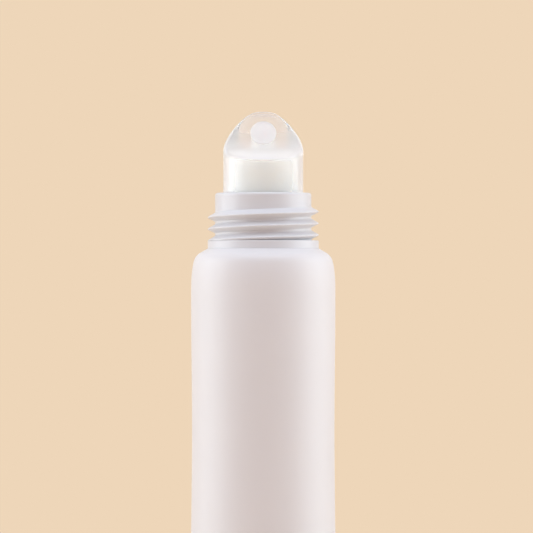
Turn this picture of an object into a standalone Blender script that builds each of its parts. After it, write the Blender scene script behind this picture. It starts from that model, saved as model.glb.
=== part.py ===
"""Lip balm squeeze tube, uncapped, with a scooped push-in applicator.

Metres, +Z up along the tube, -Y is the front, which the scooped face looks towards.
The origin is the middle of the bottom edge of the crimped tail.
"""

import math

import bmesh
import bpy

# Sleeve: extruded, round at the shoulder, drawn in at the waist and pressed flat at the tail
BODY_RADIUS = 0.00955
SLEEVE_WALL = 0.00045
SHOULDER_FOOT_HEIGHT = 0.080
SHOULDER_HEIGHT = 0.0055
SHOULDER_FALL = math.radians(30)
CORNER_RADIUS = 0.00185
CORNER_END = math.radians(15)
CORNER_INSET = 0.00036
WAIST_DEPTH = 0.00012
WAIST_HEIGHT = 0.056
WAIST_REACH = 0.017
ROUND_HEIGHT = 0.044
SEAL_HEIGHT = 0.006
SEAL_THICKNESS = 0.0009
HOLLOW_TAIL_HALF = 0.0002
FLATTENING_POWER = 1.7

# Head: shoulder plate, collar and neck in one moulding
COLLAR_RADIUS = 0.00735
COLLAR_HEIGHT = 0.00106
COLLAR_EDGE = 0.00012
NECK_RADIUS = 0.006375
NECK_HEIGHT = 0.0063
RIM_EDGE = 0.0002
BORE_RADIUS = 0.0048
BORE_LEAD = 0.0003
HEAD_WALL = 0.0009
SKIRT_SHARE = 0.6

# Applicator's tip: clear, scooped for the lips, solid above a round chamber
TIP_RADIUS = 0.0053
LIP_HEIGHT = 0.00426
PEAK_HEIGHT = 0.01339
SCOOP_RADIUS = 0.01249
LIP_ROUND = 0.0005
SIDE_ROUND = 0.00064
PEAK_ROUND = 0.000375
ORIFICE_RADIUS = 0.00165
ORIFICE_EDGE = 0.00015
SHELL_WALL = 0.00038
ROOF_WALL = 0.0003
ROOF_HEIGHT = 0.0049
ROOF_FALL = math.radians(14)
CHAMBER_CORNER = 0.0005

# Applicator's insert: a drum in the tip's chamber on a plug with two sealing beads
INSERT_WALL = 0.0006
INSERT_TOP_WALL = 0.0009
CHANNEL_INSET = 0.00015
PLUG_LENGTH = 0.0055
PLUG_CHAMFER = 0.0004
BEAD_HEIGHT = 0.0002
BEAD_WIDTH = 0.0009
BEAD_SHARES = (0.35, 0.72)

# Balm
BALM_DOME = 0.0003

# Clearances
FIT_GAP = 0.0003
PLUG_CLEARANCE = 0.0001

# Fineness of the facets
BODY_SEGMENTS = 56
TIP_SEGMENTS = 48
TAIL_STEPS = 10
BODY_STEPS = 7
ARC_STEPS = 4
SKIRT_STEPS = 3
EDGE_STEPS = 4
FACE_STEPS = 4
ROOF_STEPS = 4
CORNER_STEPS = 3

COLLAR_TOP_HEIGHT = SHOULDER_FOOT_HEIGHT + COLLAR_HEIGHT
RIM_HEIGHT = COLLAR_TOP_HEIGHT + NECK_HEIGHT
SHOULDER_END_HEIGHT = SHOULDER_FOOT_HEIGHT - SHOULDER_HEIGHT
HEAD_INSET = SLEEVE_WALL + FIT_GAP
UNDERSIDE_INSET = HEAD_INSET + HEAD_WALL
PLUG_RADIUS = BORE_RADIUS - PLUG_CLEARANCE
PLUG_NECK_RADIUS = PLUG_RADIUS - BEAD_HEIGHT
INSERT_BORE_RADIUS = PLUG_NECK_RADIUS - INSERT_WALL
ORIFICE_OFFSET = INSERT_BORE_RADIUS - CHANNEL_INSET - ORIFICE_RADIUS
CHAMBER_RADIUS = TIP_RADIUS - SHELL_WALL
ROOF_RADIUS = CHAMBER_RADIUS - CHAMBER_CORNER
DRUM_CORNER = CHAMBER_CORNER - FIT_GAP
DRUM_RADIUS = ROOF_RADIUS + DRUM_CORNER
INSERT_BORE_HEIGHT = LIP_HEIGHT - ROOF_WALL - FIT_GAP - INSERT_TOP_WALL


def clear_scene():
    for thing in list(bpy.data.objects):
        bpy.data.objects.remove(thing, do_unlink=True)


def plastic(name, colour, roughness, alpha=1.0, transmission=0.0):
    material = bpy.data.materials.new(name)
    material.use_nodes = True
    shader = material.node_tree.nodes["Principled BSDF"]
    shader.inputs["Base Color"].default_value = (*colour, 1.0)
    shader.inputs["Roughness"].default_value = roughness
    shader.inputs["Metallic"].default_value = 0.0
    shader.inputs["Alpha"].default_value = alpha
    shader.inputs["Transmission Weight"].default_value = transmission
    return material


def add_object(name, mesh, material, parent=None):
    piece = bpy.data.objects.new(name, mesh)
    bpy.context.collection.objects.link(piece)
    mesh.materials.append(material)
    mesh.shade_smooth()
    mesh.set_sharp_from_angle(angle=math.radians(35))
    piece.parent = parent
    return piece


def shares(count):
    """Evenly spaced shares from 0 to 1, both ends included."""
    return [step / count for step in range(count + 1)]


def mix(start, end, share):
    return start + (end - start) * share


def fan(mesh, loop, centre):
    """Closes a loop with triangles round a middle point."""
    middle = mesh.verts.new(centre)
    for near, far in zip(loop, loop[1:] + loop[:1]):
        mesh.faces.new((near, far, middle))


def centre_of(ring, lift=0.0):
    count = len(ring)
    x, y, z = (sum(point[axis] for point in ring) / count for axis in range(3))
    return x, y, z + lift


def skin(name, rings, looped=False, lift=0.0):
    """Mesh lofted through rings of equal count, closed by two fans or joined end to start."""
    mesh = bmesh.new()
    loops = [[mesh.verts.new(point) for point in ring] for ring in rings]
    spans = list(zip(loops, loops[1:]))
    if looped:
        spans.append((loops[-1], loops[0]))
    for lower, upper in spans:
        for index in range(len(lower)):
            after = (index + 1) % len(lower)
            mesh.faces.new((lower[index], lower[after], upper[after], upper[index]))
    if not looped:
        fan(mesh, loops[0][::-1], centre_of(rings[0]))
        fan(mesh, loops[-1], centre_of(rings[-1], lift))
    data = bpy.data.meshes.new(name)
    mesh.to_mesh(data)
    mesh.free()
    return data


def stadium(half_depth, half_straight, height, count):
    """Ring of evenly spaced points round two half circles joined by straight sides."""
    quarter = math.pi * half_depth / 2
    side = 2 * half_straight
    ring = []
    for index in range(count):
        along = index * (4 * quarter + 2 * side) / count
        if along < quarter:
            middle, angle = half_straight, along / half_depth
        elif along < quarter + side:
            middle, angle = half_straight - (along - quarter), math.pi / 2
        elif along < 3 * quarter + side:
            middle, angle = -half_straight, (along - side) / half_depth
        elif along < 3 * quarter + 2 * side:
            middle, angle = along - 3 * quarter - side - half_straight, -math.pi / 2
        else:
            middle, angle = half_straight, (along - 2 * side) / half_depth
        ring.append((middle + half_depth * math.cos(angle), half_depth * math.sin(angle), height))
    return ring


def circle(radius, height, count):
    return stadium(radius, 0.0, height, count)


def cone_height(radius, inset):
    """Height of the shoulder's cone at a radius, or of the cone lying an inset below it."""
    fall = (radius - COLLAR_RADIUS) * math.tan(SHOULDER_FALL)
    return SHOULDER_FOOT_HEIGHT - fall - inset / math.cos(SHOULDER_FALL)


def shoulder_curve(start_radius, inset, reach=1.0):
    """Radius and height down the shoulder: cone, rounded corner, then an ease to the body.

    An inset moves the whole curve into the wall. Reach is the share of the ease that is kept.
    """
    middle_radius = BODY_RADIUS - CORNER_INSET - CORNER_RADIUS * math.cos(CORNER_END)
    middle_height = cone_height(middle_radius, CORNER_RADIUS)
    arc = CORNER_RADIUS - inset
    points = [(start_radius, cone_height(start_radius, inset))]
    for share in shares(ARC_STEPS):
        angle = mix(math.pi / 2 - SHOULDER_FALL, CORNER_END, share)
        points.append((middle_radius + arc * math.cos(angle), middle_height + arc * math.sin(angle)))
    near_radius, near_height = points[-1]
    far_radius = BODY_RADIUS - inset
    bend_height = near_height - (far_radius - near_radius) / math.tan(CORNER_END)
    for share in shares(SKIRT_STEPS)[1:]:
        along = share * reach
        radius = mix(mix(near_radius, far_radius, along), far_radius, along)
        height = mix(
            mix(near_height, bend_height, along), mix(bend_height, SHOULDER_END_HEIGHT, along), along
        )
        points.append((radius, height))
    return points


def round_radius(height):
    """Radius that the sleeve's girth has at a height, least at the waist."""
    away = min(abs(height - WAIST_HEIGHT) / WAIST_REACH, 1.0)
    return BODY_RADIUS - WAIST_DEPTH * math.cos(away * math.pi / 2) ** 2


def half_depth_at(height):
    """Half the sleeve's depth: its radius where it is round, easing to half the seal's thickness."""
    down = min(max((ROUND_HEIGHT - height) / (ROUND_HEIGHT - SEAL_HEIGHT), 0.0), 1.0)
    return mix(round_radius(height), SEAL_THICKNESS / 2, down**FLATTENING_POWER)


def sleeve_section(height, inset, count):
    """Section of the sleeve. Its girth stays the same from the round body to the flat tail."""
    half_depth = half_depth_at(height)
    half_straight = math.pi / 2 * (round_radius(height) - half_depth)
    return stadium(half_depth - inset, half_straight, height, count)


def height_of_half_depth(half_depth):
    """Height in the tail at which the sleeve is this deep, the inverse of half_depth_at."""
    radius = round_radius(SEAL_HEIGHT)
    down = ((radius - half_depth) / (radius - SEAL_THICKNESS / 2)) ** (1 / FLATTENING_POWER)
    return mix(ROUND_HEIGHT, SEAL_HEIGHT, down)


def sleeve_heights(lowest):
    """Heights of the sections between the lowest one and the shoulder."""
    tail = [mix(lowest, ROUND_HEIGHT, share) for share in shares(TAIL_STEPS)]
    body = [mix(ROUND_HEIGHT, SHOULDER_END_HEIGHT, share) for share in shares(BODY_STEPS)]
    return tail + body[1:-1]


def hollow_heights():
    """Heights of the sections of the sleeve's hollow, from just above the seal."""
    return sleeve_heights(height_of_half_depth(SLEEVE_WALL + HOLLOW_TAIL_HALF))


def make_sleeve():
    """Tube open at the shoulder: up the outside, over the rolled edge and down the inside."""
    edge_radius = COLLAR_RADIUS + FIT_GAP
    outer = [sleeve_section(height, 0.0, BODY_SEGMENTS) for height in [0.0] + sleeve_heights(SEAL_HEIGHT)]
    outer += [
        circle(radius, height, BODY_SEGMENTS)
        for radius, height in reversed(shoulder_curve(edge_radius, 0.0))
    ]
    inner = [
        circle(radius, height, BODY_SEGMENTS)
        for radius, height in shoulder_curve(edge_radius, SLEEVE_WALL)
    ]
    inner += [
        sleeve_section(height, SLEEVE_WALL, BODY_SEGMENTS)
        for height in reversed(hollow_heights())
    ]
    white = plastic("white_sleeve_plastic", (0.86, 0.83, 0.82), 0.42)
    return add_object("tube_sleeve", skin("tube_sleeve", outer + inner), white)


def head_profile():
    """Closed outline of the head, down the outside and up the bore."""
    outside = [
        (NECK_RADIUS - RIM_EDGE, RIM_HEIGHT),
        (NECK_RADIUS, RIM_HEIGHT - RIM_EDGE),
        (NECK_RADIUS, COLLAR_TOP_HEIGHT),
        (COLLAR_RADIUS - COLLAR_EDGE, COLLAR_TOP_HEIGHT),
        (COLLAR_RADIUS, COLLAR_TOP_HEIGHT - COLLAR_EDGE),
    ]
    outside += shoulder_curve(COLLAR_RADIUS, HEAD_INSET, SKIRT_SHARE)
    underside = shoulder_curve(BORE_RADIUS, UNDERSIDE_INSET, SKIRT_SHARE)[::-1]
    bore = [(BORE_RADIUS, RIM_HEIGHT - BORE_LEAD), (BORE_RADIUS + BORE_LEAD, RIM_HEIGHT)]
    return outside + underside + bore


def make_head():
    outline = head_profile()
    mesh = bpy.data.meshes.new("tube_head")
    edges = [(index, (index + 1) % len(outline)) for index in range(len(outline))]
    mesh.from_pydata([(radius, 0.0, height) for radius, height in outline], edges, [])
    white = plastic("white_head_plastic", (0.84, 0.81, 0.82), 0.35)
    piece = add_object("tube_head", mesh, white)
    turn = piece.modifiers.new("turned", "SCREW")
    turn.steps = BODY_SEGMENTS
    turn.render_steps = BODY_SEGMENTS
    turn.use_merge_vertices = False
    return piece


def scoop_centre():
    """Depth and height of the axis of the round scoop through the lip and the peak."""
    rise = PEAK_HEIGHT - LIP_HEIGHT
    chord = math.hypot(2 * TIP_RADIUS, rise)
    away = math.sqrt(SCOOP_RADIUS**2 - (chord / 2) ** 2)
    return -away * rise / chord, (LIP_HEIGHT + PEAK_HEIGHT) / 2 + away * 2 * TIP_RADIUS / chord


def scoop_height(depth):
    middle_depth, middle_height = scoop_centre()
    return middle_height - math.sqrt(SCOOP_RADIUS**2 - (depth - middle_depth) ** 2)


def scoop_slope(depth):
    middle_depth, _ = scoop_centre()
    away = depth - middle_depth
    return away / math.sqrt(SCOOP_RADIUS**2 - away**2)


def ring_of(place):
    """One ring of the applicator, from a function of the angle."""
    return [place(2 * math.pi * index / TIP_SEGMENTS) for index in range(TIP_SEGMENTS)]


def turned(radius, height):
    return ring_of(lambda angle: (radius * math.cos(angle), radius * math.sin(angle), height))


def edge_rounding(angle):
    """Radius of the tip's rounded edge, which differs between the lip, the sides and the peak."""
    end = PEAK_ROUND if math.sin(angle) > 0 else LIP_ROUND
    return mix(SIDE_ROUND, end, math.sin(angle) ** 2)


def edge_point(angle, share):
    """Point on the rounded edge between the tip's wall, share 0, and the scooped face, share 1."""
    rounding = edge_rounding(angle)
    slope = scoop_slope(TIP_RADIUS * math.sin(angle)) * math.sin(angle)
    corner_height = scoop_height(TIP_RADIUS * math.sin(angle))
    middle_height = corner_height - rounding * (slope + math.hypot(1.0, slope))
    turn = share * (math.pi / 2 + math.atan(slope))
    radius = TIP_RADIUS - rounding + rounding * math.cos(turn)
    height = middle_height + rounding * math.sin(turn)
    return radius * math.cos(angle), radius * math.sin(angle), height


def orifice_point(angle, radius):
    return radius * math.cos(angle), ORIFICE_OFFSET + radius * math.sin(angle)


def face_point(angle, share):
    """Point on the scooped face, from its rounded edge, share 0, to the orifice, share 1."""
    edge_x, edge_y, edge_z = edge_point(angle, 1.0)
    hole_x, hole_y = orifice_point(angle, ORIFICE_RADIUS + ORIFICE_EDGE)
    x = mix(edge_x, hole_x, share)
    y = mix(edge_y, hole_y, share)
    return x, y, scoop_height(y) + (edge_z - scoop_height(edge_y)) * (1 - share) ** 2


def orifice_wall(angle, drop):
    """Point on the orifice's wall, a drop below the scooped face."""
    x, y = orifice_point(angle, ORIFICE_RADIUS)
    return x, y, scoop_height(y) - drop


def channel_ring(radius, height):
    """Level ring round the channel that runs straight down from the orifice."""
    return ring_of(lambda angle: (*orifice_point(angle, radius), height))


def roof_height(depth):
    """Height of the chamber's roof: a plane that falls to the back, or a wall under the face."""
    return min(ROOF_HEIGHT - depth * math.tan(ROOF_FALL), scoop_height(depth) - ROOF_WALL)


def roof_point(angle, share, drop):
    """Point a drop under the chamber's roof, from the channel, share 0, to the corner, share 1."""
    hole_x, hole_y = orifice_point(angle, ORIFICE_RADIUS)
    x = mix(hole_x, ROOF_RADIUS * math.cos(angle), share)
    y = mix(hole_y, ROOF_RADIUS * math.sin(angle), share)
    return x, y, roof_height(y) - drop


def corner_point(angle, share, rounding):
    """Point round the corner from the roof, share 0, to the upright wall, share 1.

    The drum's corner has the chamber's centre and a smaller rounding, so it lies a gap inside it.
    """
    turn = share * math.pi / 2
    radius = ROOF_RADIUS + rounding * math.sin(turn)
    middle_height = roof_height(ROOF_RADIUS * math.sin(angle)) - CHAMBER_CORNER
    height = middle_height + rounding * math.cos(turn)
    return radius * math.cos(angle), radius * math.sin(angle), height


def plug_outline():
    """Radius and height up the outside of the plug, over its sealing beads, to the drum's foot."""
    points = [
        (PLUG_NECK_RADIUS - PLUG_CHAMFER, -PLUG_LENGTH),
        (PLUG_NECK_RADIUS, PLUG_CHAMFER - PLUG_LENGTH),
    ]
    for share in BEAD_SHARES:
        middle = PLUG_LENGTH * share - PLUG_LENGTH
        points += [
            (PLUG_NECK_RADIUS, middle - BEAD_WIDTH / 2),
            (PLUG_RADIUS, middle - BEAD_WIDTH / 6),
            (PLUG_RADIUS, middle + BEAD_WIDTH / 6),
            (PLUG_NECK_RADIUS, middle + BEAD_WIDTH / 2),
        ]
    return points + [(PLUG_NECK_RADIUS, 0.0), (DRUM_RADIUS, 0.0)]


def make_tip(holder):
    """One skin: up the wall, over the face, down the channel, over the roof, down the chamber."""
    rings = [turned(TIP_RADIUS, FIT_GAP)]
    rings += [ring_of(lambda angle: edge_point(angle, share)) for share in shares(EDGE_STEPS)]
    rings += [ring_of(lambda angle: face_point(angle, share)) for share in shares(FACE_STEPS)[1:]]
    rings += [ring_of(lambda angle: orifice_wall(angle, ORIFICE_EDGE))]
    rings += [ring_of(lambda angle: roof_point(angle, share, 0.0)) for share in shares(ROOF_STEPS)]
    rings += [
        ring_of(lambda angle: corner_point(angle, share, CHAMBER_CORNER))
        for share in shares(CORNER_STEPS)[1:]
    ]
    rings += [turned(CHAMBER_RADIUS, FIT_GAP)]
    clear = plastic("clear_tip_plastic", (0.94, 0.92, 0.90), 0.06, 0.35, 1.0)
    return add_object("applicator_tip", skin("applicator_tip", rings, looped=True), clear, holder)


def make_insert(holder):
    """One skin: up the plug and the drum, over its top, down the channel and down the bore."""
    rings = [turned(radius, height) for radius, height in plug_outline()]
    rings += [ring_of(lambda angle: corner_point(angle, 1.0, DRUM_CORNER))]
    rings += [
        ring_of(lambda angle: roof_point(angle, share, FIT_GAP)) for share in shares(ROOF_STEPS)[::-1]
    ]
    rings += [
        channel_ring(ORIFICE_RADIUS, INSERT_BORE_HEIGHT),
        turned(INSERT_BORE_RADIUS, INSERT_BORE_HEIGHT),
        turned(INSERT_BORE_RADIUS, -PLUG_LENGTH),
    ]
    milky = plastic("milky_insert_plastic", (0.86, 0.84, 0.82), 0.35)
    return add_object("applicator_insert", skin("applicator_insert", rings, looped=True), milky, holder)


def make_balm_in_tip(holder, balm):
    """Balm in the insert's bore and up the channel, standing a little proud at the orifice."""
    bore_radius = INSERT_BORE_RADIUS - FIT_GAP
    channel_radius = ORIFICE_RADIUS - FIT_GAP
    rings = [
        turned(bore_radius, -PLUG_LENGTH),
        turned(bore_radius, INSERT_BORE_HEIGHT - FIT_GAP),
        channel_ring(channel_radius, INSERT_BORE_HEIGHT - FIT_GAP),
    ]
    top = channel_ring(channel_radius, 0.0)
    rings += [[(x, y, scoop_height(y)) for x, y, _ in top]]
    return add_object("balm_in_tip", skin("balm_in_tip", rings, lift=BALM_DOME), balm, holder)


def make_balm_fill(balm):
    """Balm in the sleeve, under the head and up the neck's bore to the insert's plug.

    It stops one section short of the seal, where a filled tube holds air.
    """
    rings = [sleeve_section(height, HEAD_INSET, BODY_SEGMENTS) for height in hollow_heights()[1:]]
    skirt_radius, skirt_height = shoulder_curve(BORE_RADIUS, UNDERSIDE_INSET, SKIRT_SHARE)[-1]
    corner_radius, _ = shoulder_curve(BORE_RADIUS, UNDERSIDE_INSET)[1 + ARC_STEPS]
    bore_radius = BORE_RADIUS - FIT_GAP
    under_radius = corner_radius - FIT_GAP
    under_inset = UNDERSIDE_INSET + FIT_GAP
    plug_bottom = RIM_HEIGHT - PLUG_LENGTH
    top = [
        (BODY_RADIUS - HEAD_INSET, SHOULDER_END_HEIGHT),
        (skirt_radius - FIT_GAP, skirt_height - FIT_GAP),
        (under_radius, cone_height(under_radius, under_inset)),
        (bore_radius, cone_height(bore_radius, under_inset)),
        (bore_radius, plug_bottom - FIT_GAP),
    ]
    rings += [circle(radius, height, BODY_SEGMENTS) for radius, height in top]
    return add_object("balm_fill", skin("balm_fill", rings), balm)


def main():
    clear_scene()
    balm = plastic("milky_balm", (0.87, 0.85, 0.82), 0.3)
    make_sleeve()
    make_head()
    make_balm_fill(balm)
    holder = bpy.data.objects.new("applicator_seat", None)
    holder.location.z = RIM_HEIGHT
    bpy.context.collection.objects.link(holder)
    make_tip(holder)
    make_insert(holder)
    make_balm_in_tip(holder, balm.copy())


main()
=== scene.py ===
"""Looks of an uncapped lip balm tube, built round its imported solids.

Laid out as an add-on and run as a script: one operator for each piece and one for the stage.
Metres, +Z up the tube, -Y is the front that the applicator's scooped face looks towards.
"""

import math

import bpy
import numpy as np
from bpy.props import FloatProperty, FloatVectorProperty, IntProperty, PointerProperty
from bpy.types import Operator, Panel, PropertyGroup
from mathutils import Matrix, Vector


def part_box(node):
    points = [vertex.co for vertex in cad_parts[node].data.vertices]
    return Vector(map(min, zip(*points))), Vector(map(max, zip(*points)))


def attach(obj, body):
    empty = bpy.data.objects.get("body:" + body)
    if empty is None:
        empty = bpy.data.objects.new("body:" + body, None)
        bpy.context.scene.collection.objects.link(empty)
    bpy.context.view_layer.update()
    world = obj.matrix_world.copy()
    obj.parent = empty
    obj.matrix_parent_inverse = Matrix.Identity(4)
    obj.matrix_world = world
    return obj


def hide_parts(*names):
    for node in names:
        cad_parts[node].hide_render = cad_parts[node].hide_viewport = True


bl_info = {
    "name": "Lip Balm Tube Looks",
    "version": (1, 0, 0),
    "blender": (4, 5, 0),
    "location": "View3D > Sidebar > Balm Tube",
    "description": "Sleeve, threaded head, clear applicator and balm as finished surfaces",
    "category": "Object",
}

MM = 0.001

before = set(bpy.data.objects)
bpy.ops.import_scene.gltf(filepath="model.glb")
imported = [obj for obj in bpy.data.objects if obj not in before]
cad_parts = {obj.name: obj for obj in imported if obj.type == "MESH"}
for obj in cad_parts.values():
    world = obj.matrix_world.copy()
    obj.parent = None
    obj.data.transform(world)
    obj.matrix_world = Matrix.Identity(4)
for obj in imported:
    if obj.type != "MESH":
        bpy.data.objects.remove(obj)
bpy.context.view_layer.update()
SLEEVE_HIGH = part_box("tube_sleeve")[1]
GIRTH_RADIUS = SLEEVE_HIGH.y
RIM_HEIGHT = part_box("tube_head")[1].z
TIP_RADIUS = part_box("applicator_tip")[1].x
PLUG_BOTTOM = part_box("applicator_insert")[0].z
BALM_LOW, BALM_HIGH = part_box("balm_fill")
TUBE_BODY = "tube"
TIP_BODY = "applicator"

SHARP_ANGLE = math.radians(32)
NOISE_SPAN = (0.3, 0.7)  # most of a noise texture's values
TAIL_CUT = 0.12 * MM  # chamfer round the tail's cut edge
RIB_FADE = 0.3 * MM  # up and down the tail
RIB_SIDE_FADE = 0.4 * MM  # across it
HOLE_OVERLAP = 0.02 * MM  # of the sleeve's hole into the collar
NECK_ROW = 0.035 * MM  # between the rows that carry the thread
BEAD_PLACES = (0.35, 0.72)  # shares of the plug's length
DROP_FULLNESS = 0.96  # at 1 the drop would stand upright at its edge
BALM_SAG = 0.3 * MM  # of the balm's top in the neck
BALM_COLUMNS = 96

LAMP_TARGET = (0, 0, 0.075)
SIDE_LAMPS = {"left_softbox": (-0.42, 0, 0.10), "right_softbox": (0.42, 0, 0.10)}
SIDE_LAMP_SIZE = (0.40, 0.50)
TOP_LAMP, TOP_LAMP_SIZE = (0, -0.12, 0.50), (0.40, 0.30)
FRONT_LAMP, FRONT_LAMP_SIZE = (0, -0.30, 0.42), (0.60, 0.30)
FLOOR_RADIUS, FLOOR_HUB = 0.5, 0.01
FLOOR_RINGS, FLOOR_COLUMNS = 12, 96
FLOOR_MATT, FLOOR_GLOW = 0.08, 0.42  # radii between which the board turns into the backdrop
SENSOR_WIDTH = 36  # millimetres, as the lens


def linear(code):
    """Linear red, green and blue of an sRGB hex code."""
    shares = np.array([int(code[start:start + 2], 16) for start in (0, 2, 4)]) / 255
    low = shares / 12.92
    high = ((shares + 0.055) / 1.055) ** 2.4
    return tuple(float(share) for share in np.where(shares <= 0.04045, low, high))


def length(name, description, millimetres):
    """Setting for a length, given in millimetres and kept in metres."""
    return FloatProperty(
        name=name, description=description, default=millimetres * MM, unit="LENGTH", precision=5
    )


def angle(name, description, degrees):
    """Setting for an angle, given in degrees and kept in radians."""
    return FloatProperty(
        name=name, description=description, default=math.radians(degrees), subtype="ANGLE"
    )


def number(name, description, value):
    """Setting for a plain number."""
    return FloatProperty(name=name, description=description, default=value, precision=3)


def colour(name, description, code):
    """Setting for a colour, given as an sRGB hex code and kept linear."""
    return FloatVectorProperty(
        name=name, description=description, default=linear(code), size=3, subtype="COLOR",
        min=0.0, max=1.0,
    )


class SleeveSettings(PropertyGroup):
    wall: length("Wall", "Thickness of the extruded wall", 0.45)
    foot_height: length("Shoulder foot", "Height at which the shoulder meets the collar", 80.0)
    shoulder_height: length("Shoulder height", "From the collar's foot down to the full body", 5.5)
    shoulder_fall: angle("Shoulder fall", "Slope of the shoulder's cone", 30.0)
    corner_radius: length("Corner radius", "Round between shoulder and body", 1.85)
    corner_end: angle("Corner end", "Slope off the vertical where the corner ends", 15.0)
    corner_inset: length("Corner inset", "How far inside the body the corner ends", 0.36)
    waist_depth: length("Waist depth", "How far the body is drawn in at its waist", 0.12)
    waist_height: length("Waist height", "Height of the waist", 56.0)
    waist_reach: length("Waist reach", "How far the waist reaches up and down", 17.0)
    round_height: length("Round down to", "Height under which the body flattens", 44.0)
    flattening: number("Flattening", "Power of the curve from round to flat", 1.7)
    seal_height: length("Seal height", "Height of the crimped seal", 6.0)
    seal_thickness: length("Seal thickness", "Two walls welded together", 0.9)
    hollow_tail: length("Hollow's tail", "Half the depth at which the hollow starts", 0.2)
    rib_pitch: length("Rib pitch", "Spacing of the ribs pressed into the seal", 0.9)
    rib_depth: length("Rib depth", "Depth of those ribs", 0.09)
    rib_margin: length("Rib margin", "Plain band above and below the ribs", 0.7)
    plastic: colour("Plastic", "White of the extruded sleeve", "EDECED")
    columns: IntProperty(name="Columns", description="Points round the sleeve", default=384)


class HeadSettings(PropertyGroup):
    collar_radius: length("Collar radius", "Radius of the collar under the thread", 7.35)
    collar_height: length("Collar height", "Height of the collar", 1.06)
    collar_edge: length("Collar edge", "Round on the collar's edges", 0.12)
    neck_radius: length("Neck radius", "Radius at the thread's root", 6.375)
    root_fillet: length("Root fillet", "Fillet where the neck stands on the collar", 0.15)
    rim_edge: length("Rim edge", "Round on the rim's outer edge", 0.35)
    bore_radius: length("Bore radius", "Radius of the bore for the plug", 4.8)
    bore_lead: length("Bore lead-in", "Chamfer at the bore's mouth", 0.3)
    plate: length("Shoulder plate", "Thickness of the head under the sleeve", 0.9)
    seat_gap: length("Seat gap", "Between the sleeve's inner face and the head", 0.3)
    skirt_share: number("Skirt share", "Share of the shoulder's ease that the skirt follows", 0.6)
    thread_height: length("Thread height", "How far the thread stands out", 0.975)
    thread_pitch: length("Thread pitch", "Rise of the right-handed thread in one turn", 1.54)
    thread_upper: length("Upper flank", "Height that the thread's upper flank takes", 0.66)
    thread_lower: length("Lower flank", "Height that the thread's lower flank takes", 0.56)
    thread_crest: length("Thread crest", "Half the width of the thread's crest", 0.03)
    thread_drop: length("Thread drop", "Lowest full turn on the right, under the rim", 5.58)
    thread_start: angle("Thread start", "Angle before that point where it leaves the collar", 205.0)
    thread_turn: angle("Thread turn", "Angle after that point where it has run out", 762.0)
    thread_fade: angle("Thread fade", "Angle over which it runs in and out", 38.0)
    plastic: colour("Plastic", "White of the moulded head", "E3E4E7")
    columns: IntProperty(name="Columns", description="Points round the head", default=240)


class TipSettings(PropertyGroup):
    lip_height: length("Lip height", "Front edge of the scooped face above the rim", 4.26)
    peak_height: length("Peak height", "Sharp back edge of the face above the rim", 13.39)
    scoop_radius: length("Scoop radius", "Radius of the round scoop", 12.49)
    lip_round: length("Lip round", "Round on the face's edge at the front", 0.4)
    side_round: length("Side round", "Round on the face's edge at the sides", 0.64)
    peak_round: length("Peak round", "Round on the face's edge at the back", 0.375)
    orifice_radius: length("Orifice radius", "Radius of the orifice", 1.65)
    orifice_height: length("Orifice height", "Middle of the orifice above the rim", 8.02)
    orifice_rise: number("Orifice rise", "Height over width of the orifice, from the front", 0.93)
    orifice_edge: length("Orifice edge", "Round on the orifice's edge", 0.15)
    shell_wall: length("Shell wall", "Wall round the chamber", 0.38)
    roof_wall: length("Roof wall", "From the face down to the chamber's roof in front", 0.25)
    roof_height: length("Roof height", "Chamber's roof at the axis, above the rim", 4.9)
    roof_fall: angle("Roof fall", "Slope of the roof down to the back", 14.0)
    roof_blend: length("Roof blend", "Softness of the ridge between the roof's two slopes", 0.3)
    chamber_corner: length("Chamber corner", "Round under the chamber's roof", 0.3)
    seat_gap: length("Seat gap", "Hair gap between the foot and the rim", 0.01)
    plastic: colour("Plastic", "Tint of the clear plastic", "FFFFFF")
    ior: number("IOR", "Refractive index of the clear plastic", 1.49)
    haze: number("Haze", "Share of the light scattered where the plastic is seen face on", 0.14)
    edge_haze: number("Edge haze", "Share scattered where it is seen along its surface", 0.8)
    columns: IntProperty(name="Columns", description="Points round the tip", default=192)


class InsertSettings(PropertyGroup):
    drum_gap: length("Drum gap", "Air between the drum and the shell", 0.33)
    drum_corner: length("Drum corner", "Round on the drum's top edge", 0.12)
    press: length("Press", "How far the drum's top presses into the chamber's roof", 0.012)
    wall: length("Wall", "Wall of the plug", 0.6)
    bore_height: length("Bore height", "Top of the bore above the rim", -1.5)
    plug_radius: length("Plug radius", "Radius over the sealing beads", 4.7)
    plug_chamfer: length("Plug chamfer", "Chamfer at the plug's bottom", 0.4)
    bead_height: length("Bead height", "How far the sealing beads stand out", 0.2)
    bead_width: length("Bead width", "Width of a sealing bead", 0.9)
    plastic: colour("Plastic", "Milky white of the insert", "FFFFFF")


class BalmSettings(PropertyGroup):
    press: length("Press", "How far the balm presses into the walls that hold it", 0.012)
    dome: length("Dome", "How far the drop stands out of the face", 0.4)
    drop_radius: length("Drop radius", "Half the width of the drop on the face", 1.74)
    drop_flat: number("Drop flat", "Share by which the drop's foot is flattened", 0.1)
    lumps: length("Lumps", "Height of the lumps on the drop", 0.02)
    lump_size: length("Lump size", "Length of the lumps over two pi", 0.14)
    balm: colour("Balm", "Milky white of the balm", "EFECE8")


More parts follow.
